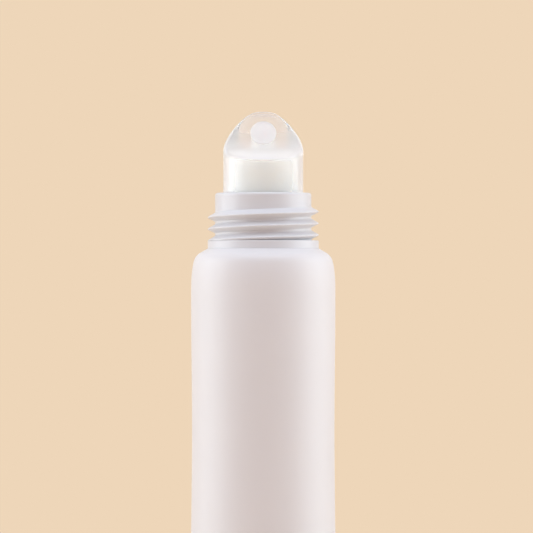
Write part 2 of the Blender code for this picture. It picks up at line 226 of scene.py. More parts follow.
class StageSettings(PropertyGroup):
    backdrop: colour("Backdrop", "Peach behind and under the object", "EED6B9")
    distance: length("Camera distance", "From the tube's axis to the camera", 490.0)
    frame_width: length("Frame width", "Width that the picture spans at the tube", 70.6)
    eye_drop: length("Eye drop", "How far the camera is under the neck's rim", 9.75)
    eye_right: length("Eye right", "How far the camera is to the right of the axis", 0.43)
    side_power: number("Side lights", "Power of each side softbox in watts", 1.72)
    side_shade: colour("Side shade", "Colour of the side softboxes", "E7F5FC")
    top_power: number("Top light", "Power of the top softbox in watts", 0.85)
    front_power: number("Front light", "Power of the softbox above the camera in watts", 0.22)
    top_shade: colour("Top shade", "Colour of the upper softboxes", "E4F2FC")
    ambient: number("Ambient", "Strength of the light from all round", 0.415)
    ambient_shade: colour("Ambient shade", "Colour of the light from all round", "FFE8F0")


def add_node(tree, kind, settings=None, links=None):
    """Adds a node. Settings are its properties or inputs by name, links are input to socket."""
    node = tree.nodes.new(kind)
    for key, value in (settings or {}).items():
        if key in node.inputs:
            node.inputs[key].default_value = value
        else:
            setattr(node, key, value)
    for key, socket in (links or {}).items():
        tree.links.new(socket, node.inputs[key])
    return node


def new_material(name, settings):
    """A material with one Principled shader, and the tree's nodes to add to."""
    material = bpy.data.materials.new(name)
    material.use_nodes = True
    tree = material.node_tree
    shader = tree.nodes["Principled BSDF"]
    for key, value in settings.items():
        shader.inputs[key].default_value = value
    return material, tree, shader


def rgba(shade, gain=1.0):
    """A colour times a gain, with full alpha."""
    return (*(min(1.0, share * gain) for share in shade), 1.0)


def grain(tree, size, stretch=(1.0, 1.0, 1.0), detail=2.0):
    """Noise in object space with marks of a size, drawn out along an axis by a small stretch."""
    place = add_node(tree, "ShaderNodeTexCoord")
    turn = add_node(
        tree, "ShaderNodeMapping", {"Scale": stretch}, {"Vector": place.outputs["Object"]}
    )
    return add_node(
        tree, "ShaderNodeTexNoise", {"Scale": 1 / size, "Detail": detail},
        {"Vector": turn.outputs["Vector"]},
    )


def vary(tree, noise, low, high):
    """The noise's value spread between two values."""
    return add_node(
        tree, "ShaderNodeMapRange",
        {"From Min": NOISE_SPAN[0], "From Max": NOISE_SPAN[1], "To Min": low, "To Max": high},
        {"Value": noise.outputs["Fac"]},
    ).outputs["Result"]


def tint(tree, noise, shader, shade, low):
    """Base colour that drifts with the noise from a shade to low times the shade."""
    blend = add_node(tree, "ShaderNodeMix", {"data_type": "RGBA"})
    share, first, second, result = (
        blend.inputs[0], blend.inputs[6], blend.inputs[7], blend.outputs[2]
    )
    first.default_value = rgba(shade)
    second.default_value = rgba(shade, low)
    tree.links.new(vary(tree, noise, 0.0, 1.0), share)
    tree.links.new(result, shader.inputs["Base Color"])


def bump(tree, noise, shader, depth):
    """Bump of a real depth in metres."""
    node = add_node(
        tree, "ShaderNodeBump", {"Distance": depth, "Strength": 1.0},
        {"Height": noise.outputs["Fac"]},
    )
    tree.links.new(node.outputs["Normal"], shader.inputs["Normal"])


def extruded_polyethylene(settings):
    """Satin white polyethylene, extruded: faint draw lines along the tube and a soft, waxy edge."""
    material, tree, shader = new_material(
        "satin_extruded_polyethylene",
        {"IOR": 1.5, "Subsurface Weight": 0.25, "Subsurface Scale": 0.8 * MM,
         "Subsurface Radius": (1.0, 0.95, 0.9)},
    )
    cloud = grain(tree, 9 * MM)
    tint(tree, cloud, shader, settings.plastic, 0.985)
    lines = grain(tree, 0.5 * MM, (1.0, 1.0, 0.03), 3.0)
    tree.links.new(vary(tree, lines, 0.40, 0.46), shader.inputs["Roughness"])
    bump(tree, lines, shader, 0.0015 * MM)
    return material


def moulded_polyethylene(settings):
    """Smooth white polyethylene from a polished mould: a little glossier than the sleeve."""
    material, tree, shader = new_material(
        "moulded_polyethylene",
        {"IOR": 1.5, "Subsurface Weight": 0.15, "Subsurface Scale": 0.5 * MM,
         "Subsurface Radius": (1.0, 0.95, 0.9)},
    )
    cloud = grain(tree, 4 * MM)
    tint(tree, cloud, shader, settings.plastic, 0.985)
    peel = grain(tree, 0.7 * MM)
    tree.links.new(vary(tree, peel, 0.30, 0.36), shader.inputs["Roughness"])
    bump(tree, peel, shader, 0.002 * MM)
    return material


def clear_moulded_plastic(settings):
    """Clear plastic from a polished mould: colourless, with a milky haze.

    The haze grows where the plastic is seen along its surface, and reflections are held down.
    Shadow rays go straight through, so that what lies inside isn't in its shadow.
    """
    material, tree, shader = new_material(
        "clear_moulded_plastic",
        {"IOR": settings.ior, "Specular Tint": rgba((0.3, 0.3, 0.3))},
    )
    slant = add_node(tree, "ShaderNodeLayerWeight", {"Blend": 0.5})
    clear = add_node(
        tree, "ShaderNodeMapRange",
        {"From Min": 0.05, "From Max": 1.0, "To Min": 1 - settings.haze,
         "To Max": 1 - settings.edge_haze, "interpolation_type": "SMOOTHSTEP"},
        {"Value": slant.outputs["Facing"]},
    )
    tree.links.new(clear.outputs["Result"], shader.inputs["Transmission Weight"])
    cloud = grain(tree, 3 * MM)
    tint(tree, cloud, shader, settings.plastic, 0.99)
    tree.links.new(vary(tree, cloud, 0.15, 0.17), shader.inputs["Roughness"])
    path = add_node(tree, "ShaderNodeLightPath")
    through = add_node(tree, "ShaderNodeBsdfTransparent", {"Color": rgba((0.8, 0.8, 0.8))})
    both = add_node(
        tree, "ShaderNodeMixShader",
        links={0: path.outputs["Is Shadow Ray"], 1: shader.outputs[0], 2: through.outputs[0]},
    )
    tree.links.new(both.outputs[0], tree.nodes["Material Output"].inputs["Surface"])
    return material


def milky_polyethylene(settings):
    """Natural polyethylene, moulded: a milky white that light sinks into, with a soft sheen."""
    material, tree, shader = new_material(
        "milky_polyethylene",
        {"IOR": 1.5, "Subsurface Weight": 1.0, "Subsurface Scale": 3.0 * MM,
         "Subsurface Radius": (1.0, 0.95, 0.9), "Specular IOR Level": 0.2},
    )
    cloud = grain(tree, 3 * MM)
    tint(tree, cloud, shader, settings.plastic, 0.985)
    peel = grain(tree, 0.6 * MM)
    tree.links.new(vary(tree, peel, 0.42, 0.50), shader.inputs["Roughness"])
    bump(tree, peel, shader, 0.002 * MM)
    return material


def milky_balm(settings):
    """Balm of waxes and oils: milky, soft to light, with a moist sheen and fine swirls."""
    material, tree, shader = new_material(
        "milky_balm",
        {"IOR": 1.45, "Subsurface Weight": 0.6, "Subsurface Scale": 1.5 * MM,
         "Subsurface Radius": (1.0, 0.9, 0.8)},
    )
    cloud = grain(tree, 1.6 * MM, (1.0, 1.0, 0.5))
    tint(tree, cloud, shader, settings.balm, 0.97)
    swirl = grain(tree, 0.5 * MM)
    tree.links.new(vary(tree, swirl, 0.16, 0.26), shader.inputs["Roughness"])
    bump(tree, swirl, shader, 0.01 * MM)
    return material


def ring_quads(index):
    """Quads between neighbouring rows of point numbers, closed round their columns."""
    near, far = index[:-1], index[1:]
    quads = np.stack((near, np.roll(near, -1, 1), np.roll(far, -1, 1), far), axis=-1)
    return quads.reshape(-1, 4).tolist()


def mesh_object(name, points, faces, material):
    """Object with one material, linked into the scene."""
    mesh = bpy.data.meshes.new(name)
    mesh.from_pydata(points.tolist(), [], faces)
    mesh.materials.append(material)
    piece = bpy.data.objects.new(name, mesh)
    bpy.context.scene.collection.objects.link(piece)
    return piece


def grid_object(name, grid, material, looped=False):
    """Smooth object from a grid of points, rows by columns, closed round its columns.

    Neighbouring rows are joined by quads. The last row is joined to the first where looped, and
    otherwise a fan of triangles round each end's middle closes it.
    """
    rows, columns, _ = grid.shape
    index = np.arange(rows * columns).reshape(rows, columns)
    if looped:
        index = np.vstack((index, index[:1]))
    faces = ring_quads(index)
    points = grid.reshape(-1, 3)
    if not looped:
        points = np.vstack((points, grid[[0, -1]].mean(axis=1)))
        first, last = index[0], index[-1]
        low = np.full(columns, rows * columns)
        faces += np.stack((np.roll(first, -1), first, low), axis=-1).tolist()
        faces += np.stack((last, np.roll(last, -1), low + 1), axis=-1).tolist()
    piece = mesh_object(name, points, faces, material)
    piece.data.shade_smooth()
    piece.data.set_sharp_from_angle(angle=SHARP_ANGLE)
    return piece


def place_piece(piece, body, node):
    """Puts a piece on a body in the place of a node, and hides the node."""
    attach(piece, body)
    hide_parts(node)


def turned(radii, heights, columns):
    """Rows of a turned surface: x and y go round each radius, z is its height."""
    turn = np.arange(columns) * 2 * math.pi / columns
    radii = np.asarray(radii, float)[:, None]
    heights = np.broadcast_to(np.asarray(heights, float)[:, None], (len(radii), columns))
    return np.stack((radii * np.cos(turn), radii * np.sin(turn), heights), axis=-1)


def stadium_rows(half_depth, half_straight, heights, columns):
    """Rows round two half circles joined by straight sides, points evenly spaced along each.

    A point goes a quarter circle, a side, a half circle, a side and a quarter circle, starting
    at +X. Depth and straight are given for each height.
    """
    depth = np.asarray(half_depth, float)[:, None]
    straight = np.asarray(half_straight, float)[:, None]
    quarter = math.pi / 2 * depth
    side = 2 * straight
    along = np.arange(columns) / columns * (4 * quarter + 2 * side)
    stretches = [along < quarter, along < quarter + side, along < 3 * quarter + side,
                 along < 3 * quarter + 2 * side]
    across = np.broadcast_to(straight, along.shape)
    middle = np.select(
        stretches,
        [across, across - (along - quarter), -across, along - 3 * quarter - side - across],
        across,
    )
    square = math.pi / 2 + 0 * along
    turn = np.select(
        stretches, [along / depth, square, (along - side) / depth, -square],
        (along - 2 * side) / depth,
    )
    height = np.broadcast_to(np.asarray(heights, float)[:, None], along.shape)
    return np.stack((middle + depth * np.cos(turn), depth * np.sin(turn), height), axis=-1)


def cone_height(sleeve, head, radius, inset):
    """Height of the shoulder's cone at a radius, or of the cone an inset below it."""
    fall = (radius - head.collar_radius) * math.tan(sleeve.shoulder_fall)
    return sleeve.foot_height - fall - inset / math.cos(sleeve.shoulder_fall)


def shoulder_curve(sleeve, head, start_radius, inset, reach=1.0, steps=24):
    """Radii and heights down the shoulder: a cone, an arc, then a curve that eases to the body.

    The ease is a quadratic curve whose middle point lies where the arc's tangent meets the
    body's wall. An inset moves all of it into the wall; reach is the share of the ease kept.
    """
    middle_radius = (GIRTH_RADIUS - sleeve.corner_inset
                     - sleeve.corner_radius * math.cos(sleeve.corner_end))
    middle_height = cone_height(sleeve, head, middle_radius, sleeve.corner_radius)
    arc = sleeve.corner_radius - inset
    turn = np.linspace(math.pi / 2 - sleeve.shoulder_fall, sleeve.corner_end, steps)
    radii = middle_radius + arc * np.cos(turn)
    heights = middle_height + arc * np.sin(turn)
    body_radius = GIRTH_RADIUS - inset
    bend = heights[-1] - (body_radius - radii[-1]) / math.tan(sleeve.corner_end)
    end = sleeve.foot_height - sleeve.shoulder_height
    along = np.linspace(0, reach, steps)[1:]
    ease_radii = (1 - along) ** 2 * radii[-1] + (1 - (1 - along) ** 2) * body_radius
    ease_heights = ((1 - along) ** 2 * heights[-1] + 2 * along * (1 - along) * bend
                    + along**2 * end)
    start_height = cone_height(sleeve, head, start_radius, inset)
    return (np.concatenate(([start_radius], radii, ease_radii)),
            np.concatenate(([start_height], heights, ease_heights)))


def girth_radius(sleeve, heights):
    """Radius that the sleeve's girth has: the body's, less a cosine-squared dip at the waist."""
    away = np.minimum(np.abs(heights - sleeve.waist_height) / sleeve.waist_reach, 1)
    return GIRTH_RADIUS - sleeve.waist_depth * np.cos(away * math.pi / 2) ** 2


def half_depth(sleeve, heights):
    """Half the sleeve's depth, from the girth's radius down a power curve to half the seal."""
    down = (sleeve.round_height - heights) / (sleeve.round_height - sleeve.seal_height)
    down = np.clip(down, 0, 1) ** sleeve.flattening
    return girth_radius(sleeve, heights) * (1 - down) + sleeve.seal_thickness / 2 * down


def sleeve_rows(sleeve, heights, inset, columns):
    """Sections of the sleeve: its girth keeps its length from the round body to the flat seal."""
    heights = np.asarray(heights, float)
    depth = half_depth(sleeve, heights)
    straight = math.pi / 2 * (girth_radius(sleeve, heights) - depth)
    return stadium_rows(depth - inset, straight, heights, columns)


def press_ribs(sleeve, rows):
    """Presses upright ribs into the seal: a cosine across x, faded at the band's ends and edges."""
    x, y, z = rows[..., 0], rows[..., 1], rows[..., 2]
    low, high = sleeve.rib_margin, sleeve.seal_height - sleeve.rib_margin
    band = np.clip((z - low) / RIB_FADE, 0, 1) * np.clip((high - z) / RIB_FADE, 0, 1)
    edge = np.clip((SLEEVE_HIGH.x - sleeve.rib_pitch - np.abs(x)) / RIB_SIDE_FADE, 0, 1)
    wave = 0.5 - 0.5 * np.cos(2 * math.pi * x / sleeve.rib_pitch)
    flat = np.abs(y) > 0.9 * sleeve.seal_thickness / 2
    pressed = rows.copy()
    pressed[..., 1] -= np.sign(y) * flat * band * edge * wave * sleeve.rib_depth
    return pressed


def hollow_bottom(sleeve):
    """Height at which the sleeve is just deep enough for its hollow to start."""
    depth = sleeve.wall + sleeve.hollow_tail
    radius = girth_radius(sleeve, sleeve.seal_height)
    share = (radius - depth) / (radius - sleeve.seal_thickness / 2)
    down = share ** (1 / sleeve.flattening)
    return sleeve.round_height + (sleeve.seal_height - sleeve.round_height) * down


def build_sleeve(sleeve, head):
    """Skin of the sleeve: up the outside, over the rolled edge and down the inside."""
    shoulder_end = sleeve.foot_height - sleeve.shoulder_height
    heights = np.concatenate((
        [TAIL_CUT], np.linspace(sleeve.rib_margin, sleeve.seal_height - sleeve.rib_margin, 14),
        np.linspace(sleeve.seal_height, sleeve.round_height, 48),
        np.linspace(sleeve.round_height, shoulder_end, 22)[1:-1],
    ))
    cut = [sleeve_rows(sleeve, [lift], TAIL_CUT - lift, sleeve.columns)
           for lift in (0.0, 0.4 * TAIL_CUT)]
    outer = press_ribs(sleeve, sleeve_rows(sleeve, heights, 0.0, sleeve.columns))
    hole = head.collar_radius - HOLE_OVERLAP
    radii, tops = shoulder_curve(sleeve, head, hole, 0.0)
    over = turned(radii[::-1], tops[::-1], sleeve.columns)
    radii, tops = shoulder_curve(sleeve, head, hole, sleeve.wall, steps=8)
    under = turned(radii, tops, sleeve.columns)
    inner_heights = np.linspace(shoulder_end, hollow_bottom(sleeve), 40)[1:]
    inner = sleeve_rows(sleeve, inner_heights, sleeve.wall, sleeve.columns)
    grid = np.concatenate((*cut, outer, over, under, inner))
    piece = grid_object("sleeve_skin", grid, extruded_polyethylene(sleeve))
    place_piece(piece, TUBE_BODY, "tube_sleeve")


def arc_points(middle_radius, middle_height, radius, start, end, steps=6):
    """Radii and heights along an arc, angles in degrees from outwards up."""
    turn = np.radians(np.linspace(start, end, steps))
    return middle_radius + radius * np.cos(turn), middle_height + radius * np.sin(turn)


def thread_ridge(head, turn, drop):
    """How far the thread stands out at an angle and a drop under the rim.

    The drop is taken from the nearest turn of a helix that rises one pitch in a turn. Each flank
    falls off in a straight line, eased at crest and root, and the ridge fades at both ends.
    """
    rise = head.thread_drop - drop
    laps = np.round(rise / head.thread_pitch - turn / (2 * math.pi))
    whole = turn + 2 * math.pi * laps
    above = rise - head.thread_pitch * whole / (2 * math.pi)
    flank = np.where(above > 0, head.thread_upper, head.thread_lower)
    share = np.clip(1 - (np.abs(above) - head.thread_crest) / flank, 0, 1)
    eased = 0.45 * share + 0.55 * share**2 * (3 - 2 * share)
    run_in = np.clip((whole + head.thread_start) / head.thread_fade, 0, 1)
    run_out = np.clip((head.thread_turn - whole) / head.thread_fade, 0, 1)
    fade = np.sin(run_in * math.pi / 2) * np.sin(run_out * math.pi / 2)
    return head.thread_height * eased * fade


def head_outline(sleeve, head):
    """Radii and heights down the head's outside and up its bore, and which rows take the thread."""
    collar_top = sleeve.foot_height + head.collar_height
    rim = arc_points(head.neck_radius - head.rim_edge, RIM_HEIGHT - head.rim_edge, head.rim_edge,
                     90, 0)
    neck_top = RIM_HEIGHT - head.rim_edge
    neck_bottom = collar_top + head.root_fillet
    rows = int((neck_top - neck_bottom) / NECK_ROW)
    neck = (np.full(rows, head.neck_radius), np.linspace(neck_top, neck_bottom, rows))
    root = arc_points(head.neck_radius + head.root_fillet, neck_bottom, head.root_fillet, 180, 270)
    collar = arc_points(head.collar_radius - head.collar_edge, collar_top - head.collar_edge,
                        head.collar_edge, 90, 0)
    seat = sleeve.wall + head.seat_gap
    outside = shoulder_curve(sleeve, head, head.collar_radius, seat, head.skirt_share, 10)
    under = shoulder_curve(sleeve, head, head.bore_radius, seat + head.plate,
                           head.skirt_share, 10)
    lead = ([head.bore_radius, head.bore_radius + head.bore_lead],
            [RIM_HEIGHT - head.bore_lead, RIM_HEIGHT])
    pieces = [rim, neck, root, collar, outside, (under[0][::-1], under[1][::-1]), lead]
    radii = np.concatenate([piece[0] for piece in pieces])
    heights = np.concatenate([piece[1] for piece in pieces])
    threaded = np.arange(len(radii)) < len(rim[0]) + rows + len(root[0])
    return radii, heights, threaded


def build_head(sleeve, head):
    """Skin of the head: its outline turned, with the thread's ridge added to the neck."""
    radii, heights, threaded = head_outline(sleeve, head)
    turn = np.arange(head.columns) * 2 * math.pi / head.columns
    ridge = thread_ridge(head, turn[None, :], RIM_HEIGHT - heights[:, None])
    ridge = np.minimum(ridge, head.collar_radius - radii[:, None]) * threaded[:, None]
    out = radii[:, None] + ridge
    level = np.broadcast_to(heights[:, None], out.shape)
    grid = np.stack((out * np.cos(turn), out * np.sin(turn), level), axis=-1)[::-1]
    piece = grid_object("threaded_head_skin", grid, moulded_polyethylene(head), looped=True)
    place_piece(piece, TUBE_BODY, "tube_head")


class Scoop:
    """The round scoop across the tip: an arc in depth and height through the lip and the peak."""

    def __init__(self, tip):
        rise = tip.peak_height - tip.lip_height
        chord = math.hypot(2 * TIP_RADIUS, rise)
        away = math.sqrt(tip.scoop_radius**2 - (chord / 2) ** 2)
        self.radius = tip.scoop_radius
        self.depth = -away * rise / chord
        self.level = RIM_HEIGHT + (tip.lip_height + tip.peak_height) / 2
        self.level += away * 2 * TIP_RADIUS / chord

    def height(self, depth):
        return self.level - np.sqrt(self.radius**2 - (depth - self.depth) ** 2)

    def slope(self, depth):
        away = depth - self.depth
        return away / np.sqrt(self.radius**2 - away**2)

    def depth_at(self, height):
        return self.depth + np.sqrt(self.radius**2 - (self.level - height) ** 2)


def edge_rows(tip, scoop, turn, shares):
    """Rows over the face's edge: in each upright plane, an arc tangent to the wall and the face.

    The arc's radius goes from the sides' round to the lip's or the peak's with the sine squared.
    """
    share = np.asarray(shares, float)[:, None]
    end = np.where(np.sin(turn) > 0, tip.peak_round, tip.lip_round)
    rounding = tip.side_round + (end - tip.side_round) * np.sin(turn) ** 2
    slope = scoop.slope(TIP_RADIUS * np.sin(turn)) * np.sin(turn)
    corner = scoop.height(TIP_RADIUS * np.sin(turn))
    middle = corner - rounding * (slope + np.hypot(1, slope))
    swing = share * (math.pi / 2 + np.arctan(slope))
    radius = TIP_RADIUS - rounding + rounding * np.cos(swing)
    height = middle + rounding * np.sin(swing)
    return np.stack((radius * np.cos(turn), radius * np.sin(turn), height), axis=-1)


def orifice_at(tip, turn, radius):
    """Widths and depths round the orifice, which is an ellipse when seen from the front."""
    rise = radius * tip.orifice_rise * np.sin(turn)
    return radius * np.cos(turn), Scoop(tip).depth_at(RIM_HEIGHT + tip.orifice_height + rise)


def face_rows(tip, scoop, turn, shares):
    """Rows over the scooped face, drawn from its edge in to the orifice on the scoop's height."""
    share = np.asarray(shares, float)[:, None]
    rim = edge_rows(tip, scoop, turn, [1.0])
    hole_x, hole_y = orifice_at(tip, turn, tip.orifice_radius + tip.orifice_edge)
    x = rim[..., 0] * (1 - share) + hole_x * share
    y = rim[..., 1] * (1 - share) + hole_y * share
    miss = rim[..., 2] - scoop.height(rim[..., 1])
    return np.stack((x, y, scoop.height(y) + miss * (1 - share) ** 2), axis=-1)


def orifice_rows(tip, scoop, turn, shares):
    """Rows over the orifice's rounded edge, a quarter arc from the face into the hole."""
    swing = np.asarray(shares, float)[:, None] * math.pi / 2
    radius = tip.orifice_radius + tip.orifice_edge * (1 - np.sin(swing))
    x, y = orifice_at(tip, turn, radius)
    return np.stack((x, y, scoop.height(y) - tip.orifice_edge * (1 - np.cos(swing))), axis=-1)


def across_rows(near, far, steps):
    """Rows strictly between two rows, evenly spaced."""
    share = np.linspace(0, 1, steps)[1:-1, None, None]
    return near + (far - near) * share


def channel_rows(tip, turn, radius, heights):
    """Level rows down the channel under the orifice."""
    x, y = orifice_at(tip, turn, radius)
    return np.stack(np.broadcast_arrays(x, y, np.asarray(heights, float)[:, None]), axis=-1)


def roof_height(tip, scoop, depth):
    """Height of the chamber's roof at a depth: the lower of two slopes, blended at their ridge.

    One is a plane that falls to the back. The other lies a wall under the scooped face.
    """
    plane = RIM_HEIGHT + tip.roof_height - depth * math.tan(tip.roof_fall)
    face = scoop.height(depth) - tip.roof_wall
    return (plane + face - np.hypot(plane - face, tip.roof_blend)) / 2


def on_roof(tip, scoop, rows):
    """The rows with their heights taken from the roof."""
    return np.concatenate((rows[..., :2], roof_height(tip, scoop, rows[..., 1:2])), axis=-1)


def corner_rows(tip, scoop, turn, radius, rounding):
    """Rows round the corner between the roof and the chamber's wall, out and down."""
    swing = np.linspace(0, math.pi / 2, 10)[:, None]
    flat = radius - rounding
    out = flat + rounding * np.sin(swing)
    level = roof_height(tip, scoop, flat * np.sin(turn)) - rounding * (1 - np.cos(swing))
    return np.stack((out * np.cos(turn), out * np.sin(turn), level), axis=-1)


def build_tip(tip):
    """Skin of the clear tip: up the wall, over the face, down the channel and the chamber."""
    scoop = Scoop(tip)
    turn = np.arange(tip.columns) * 2 * math.pi / tip.columns
    foot = RIM_HEIGHT + tip.seat_gap
    low = turned([TIP_RADIUS], [foot], tip.columns)
    edge = edge_rows(tip, scoop, turn, np.linspace(0, 1, 14))
    mouth = orifice_rows(tip, scoop, turn, np.linspace(0, 1, 7))
    channel = on_roof(tip, scoop, channel_rows(tip, turn, tip.orifice_radius, [0.0]))
    corner = corner_rows(tip, scoop, turn, TIP_RADIUS - tip.shell_wall, tip.chamber_corner)
    end = turned([TIP_RADIUS - tip.shell_wall], [foot], tip.columns)
    rows = [
        low, across_rows(low, edge[:1], 8), edge,
        face_rows(tip, scoop, turn, np.linspace(0, 1, 30)[1:-1]), mouth,
        across_rows(mouth[-1:], channel, 12), channel,
        on_roof(tip, scoop, across_rows(channel, corner[:1], 30)), corner,
        across_rows(corner[-1:], end, 6), end,
    ]
    grid = np.concatenate(rows)
    piece = grid_object("clear_tip_skin", grid, clear_moulded_plastic(tip), looped=True)
    place_piece(piece, TIP_BODY, "applicator_tip")


def plug_outline(insert):
    """Radii and heights up the plug: a chamfer, then two beads, each a raised cosine."""
    core = insert.plug_radius - insert.bead_height
    heights = np.linspace(PLUG_BOTTOM + insert.plug_chamfer, RIM_HEIGHT, 48)
    radii = np.full(heights.shape, core)
    for share in BEAD_PLACES:
        middle = PLUG_BOTTOM + (RIM_HEIGHT - PLUG_BOTTOM) * share
        away = np.clip(np.abs(heights - middle) / (insert.bead_width / 2), 0, 1)
        radii += insert.bead_height * (0.5 + 0.5 * np.cos(math.pi * away))
    return (np.concatenate(([core - insert.plug_chamfer], radii)),
            np.concatenate(([PLUG_BOTTOM], heights)))


def insert_bore(insert):
    """Radius of the insert's bore, a wall inside the plug's core."""
    return insert.plug_radius - insert.bead_height - insert.wall


def build_insert(tip, insert):
    """Skin of the insert: up the plug and drum, down through its top and down the bore."""
    turn = np.arange(tip.columns) * 2 * math.pi / tip.columns
    scoop = Scoop(tip)
    lift = np.array([0, 0, insert.press])
    under = RIM_HEIGHT + insert.bore_height
    drum = TIP_RADIUS - tip.shell_wall - insert.drum_gap
    plug = turned(*plug_outline(insert), tip.columns)
    low = turned([drum], [RIM_HEIGHT], tip.columns)
    corner = corner_rows(tip, scoop, turn, drum, insert.drum_corner)[::-1] + lift
    hole = channel_rows(tip, turn, tip.orifice_radius, [0.0, under])
    hole[:1] = on_roof(tip, scoop, hole[:1]) + lift
    bore = turned([insert_bore(insert)] * 2, [under, PLUG_BOTTOM], tip.columns)
    top = on_roof(tip, scoop, across_rows(corner[-1:], hole[:1], 30)) + lift
    rows = [plug, low, across_rows(low, corner[:1], 6), corner, top, hole, bore]
    grid = np.concatenate(rows)
    piece = grid_object("milky_insert_skin", grid, milky_polyethylene(insert), looped=True)
    place_piece(piece, TIP_BODY, "applicator_insert")


def drop_rows(tip, scoop, balm, turn, shares):
    """Rows over the drop of balm at the orifice, from its edge on the face, share 0, inwards.

    Its foot is flattened. It stands out to the front by the root of one less a share of the
    distance squared, with low lumps from crossed sines.
    """
    share = 1 - np.asarray(shares, float)[:, None]
    foot = 1 - balm.drop_flat * np.clip(-np.sin(turn), 0, 1) ** 4
    x, y = orifice_at(tip, turn, balm.drop_radius * share * foot)
    level = scoop.height(y)
    lumps = np.sin(x / balm.lump_size + 1) * np.sin(level / balm.lump_size) * (1 - share**2)
    out = balm.dome * np.sqrt(1 - DROP_FULLNESS * share**2) + balm.lumps * lumps
    return np.stack((x, y - out, level), axis=-1)


def build_tip_balm(tip, insert, balm, material):
    """Balm in the bore and the channel, pressed a hair into their walls, and its drop on top."""
    scoop = Scoop(tip)
    turn = np.arange(tip.columns) * 2 * math.pi / tip.columns
    under = RIM_HEIGHT + insert.bore_height + balm.press
    radius = tip.orifice_radius + balm.press
    x, y = orifice_at(tip, turn, radius)
    mouth = np.stack((x, y, scoop.height(y) - tip.orifice_edge), axis=-1)[None]
    foot = channel_rows(tip, turn, radius, [under])
    rows = [
        turned([insert_bore(insert) + balm.press] * 2, [PLUG_BOTTOM, under], tip.columns),
        foot, across_rows(foot, mouth, 14), mouth,
        drop_rows(tip, scoop, balm, turn, np.linspace(0, 1, 28)[:-1]),
    ]
    piece = grid_object("balm_in_tip_skin", np.concatenate(rows), material)
    place_piece(piece, TIP_BODY, "balm_in_tip")


def build_tube_balm(sleeve, head, material):
    """Balm in the sleeve, under the head and up the bore, its top drawn up at the wall."""
    inset = sleeve.wall + head.seat_gap
    shoulder_end = sleeve.foot_height - sleeve.shoulder_height
    body = sleeve_rows(sleeve, np.linspace(BALM_LOW.z, shoulder_end, 30), inset, BALM_COLUMNS)
    under = inset + head.plate + head.seat_gap
    corner = (GIRTH_RADIUS - sleeve.corner_inset
              - sleeve.corner_radius * math.cos(sleeve.corner_end))
    bore = head.bore_radius - head.seat_gap
    radii = [corner, corner, bore, bore, bore - BALM_SAG, bore / 2]
    heights = [shoulder_end + sleeve.corner_radius, cone_height(sleeve, head, corner, under),
               cone_height(sleeve, head, bore, under), BALM_HIGH.z, BALM_HIGH.z - BALM_SAG * 0.7,
               BALM_HIGH.z - BALM_SAG]
    grid = np.concatenate((body, turned(radii, heights, BALM_COLUMNS)))
    piece = grid_object("balm_fill_skin", grid, material)
    place_piece(piece, TUBE_BODY, "balm_fill")


def seen(tree):
    """One where the ray comes from the camera, a reflection or a refraction."""
    path = add_node(tree, "ShaderNodeLightPath")
    first = add_node(
        tree, "ShaderNodeMath", {"operation": "MAXIMUM"},
        {0: path.outputs["Is Camera Ray"], 1: path.outputs["Is Glossy Ray"]},
    )
    return add_node(
        tree, "ShaderNodeMath", {"operation": "MAXIMUM"},
        {0: first.outputs[0], 1: path.outputs["Is Transmission Ray"]},
    ).outputs[0]


def build_world(stage):
    """World: the backdrop's own colour where it is seen, and an even soft light elsewhere."""
    world = bpy.data.worlds.new("soft_studio_air")
    world.use_nodes = True
    tree = world.node_tree
    tree.nodes.clear()
    backdrop = add_node(
        tree, "ShaderNodeBackground", {"Color": rgba(stage.backdrop), "Strength": 1.0}
    )
    air = add_node(
        tree, "ShaderNodeBackground",
        {"Color": rgba(stage.ambient_shade), "Strength": stage.ambient},
    )
    both = add_node(
        tree, "ShaderNodeMixShader",
        links={0: seen(tree), 1: air.outputs[0], 2: backdrop.outputs[0]},
    )
    add_node(tree, "ShaderNodeOutputWorld", links={"Surface": both.outputs[0]})
    bpy.context.scene.world = world


def painted_floor(stage):
    """Matt peach board that takes the shadow near the tube and turns into the backdrop far out."""
    material, tree, shader = new_material(
        "matt_peach_board", {"Base Color": rgba(stage.backdrop), "Roughness": 0.85}
    )
    place = add_node(tree, "ShaderNodeTexCoord")
    away = add_node(
        tree, "ShaderNodeVectorMath", {"operation": "LENGTH"}, {0: place.outputs["Object"]}
    )
    out = add_node(
        tree, "ShaderNodeMapRange",
        {"From Min": FLOOR_MATT, "From Max": FLOOR_GLOW, "interpolation_type": "SMOOTHSTEP"},
        {"Value": away.outputs["Value"]},
    )
    share = add_node(
        tree, "ShaderNodeMath", {"operation": "MULTIPLY"}, {0: out.outputs[0], 1: seen(tree)}
    )
    glow = add_node(
        tree, "ShaderNodeEmission", {"Color": rgba(stage.backdrop), "Strength": 1.0}
    )
    both = add_node(
        tree, "ShaderNodeMixShader",
        links={0: share.outputs[0], 1: shader.outputs[0], 2: glow.outputs[0]},
    )
    tree.links.new(both.outputs[0], tree.nodes["Material Output"].inputs["Surface"])
    return material


def build_floor(stage):
    """Round floor under the tube: circles of growing radius at height nought."""
    radii = np.linspace(FLOOR_RADIUS, FLOOR_HUB, FLOOR_RINGS)
    grid = turned(radii, np.zeros(FLOOR_RINGS), FLOOR_COLUMNS)
    index = np.arange(FLOOR_RINGS * FLOOR_COLUMNS).reshape(FLOOR_RINGS, FLOOR_COLUMNS)
    faces = ring_quads(index) + [index[-1].tolist()]
    mesh_object("floor", grid.reshape(-1, 3), faces, painted_floor(stage))


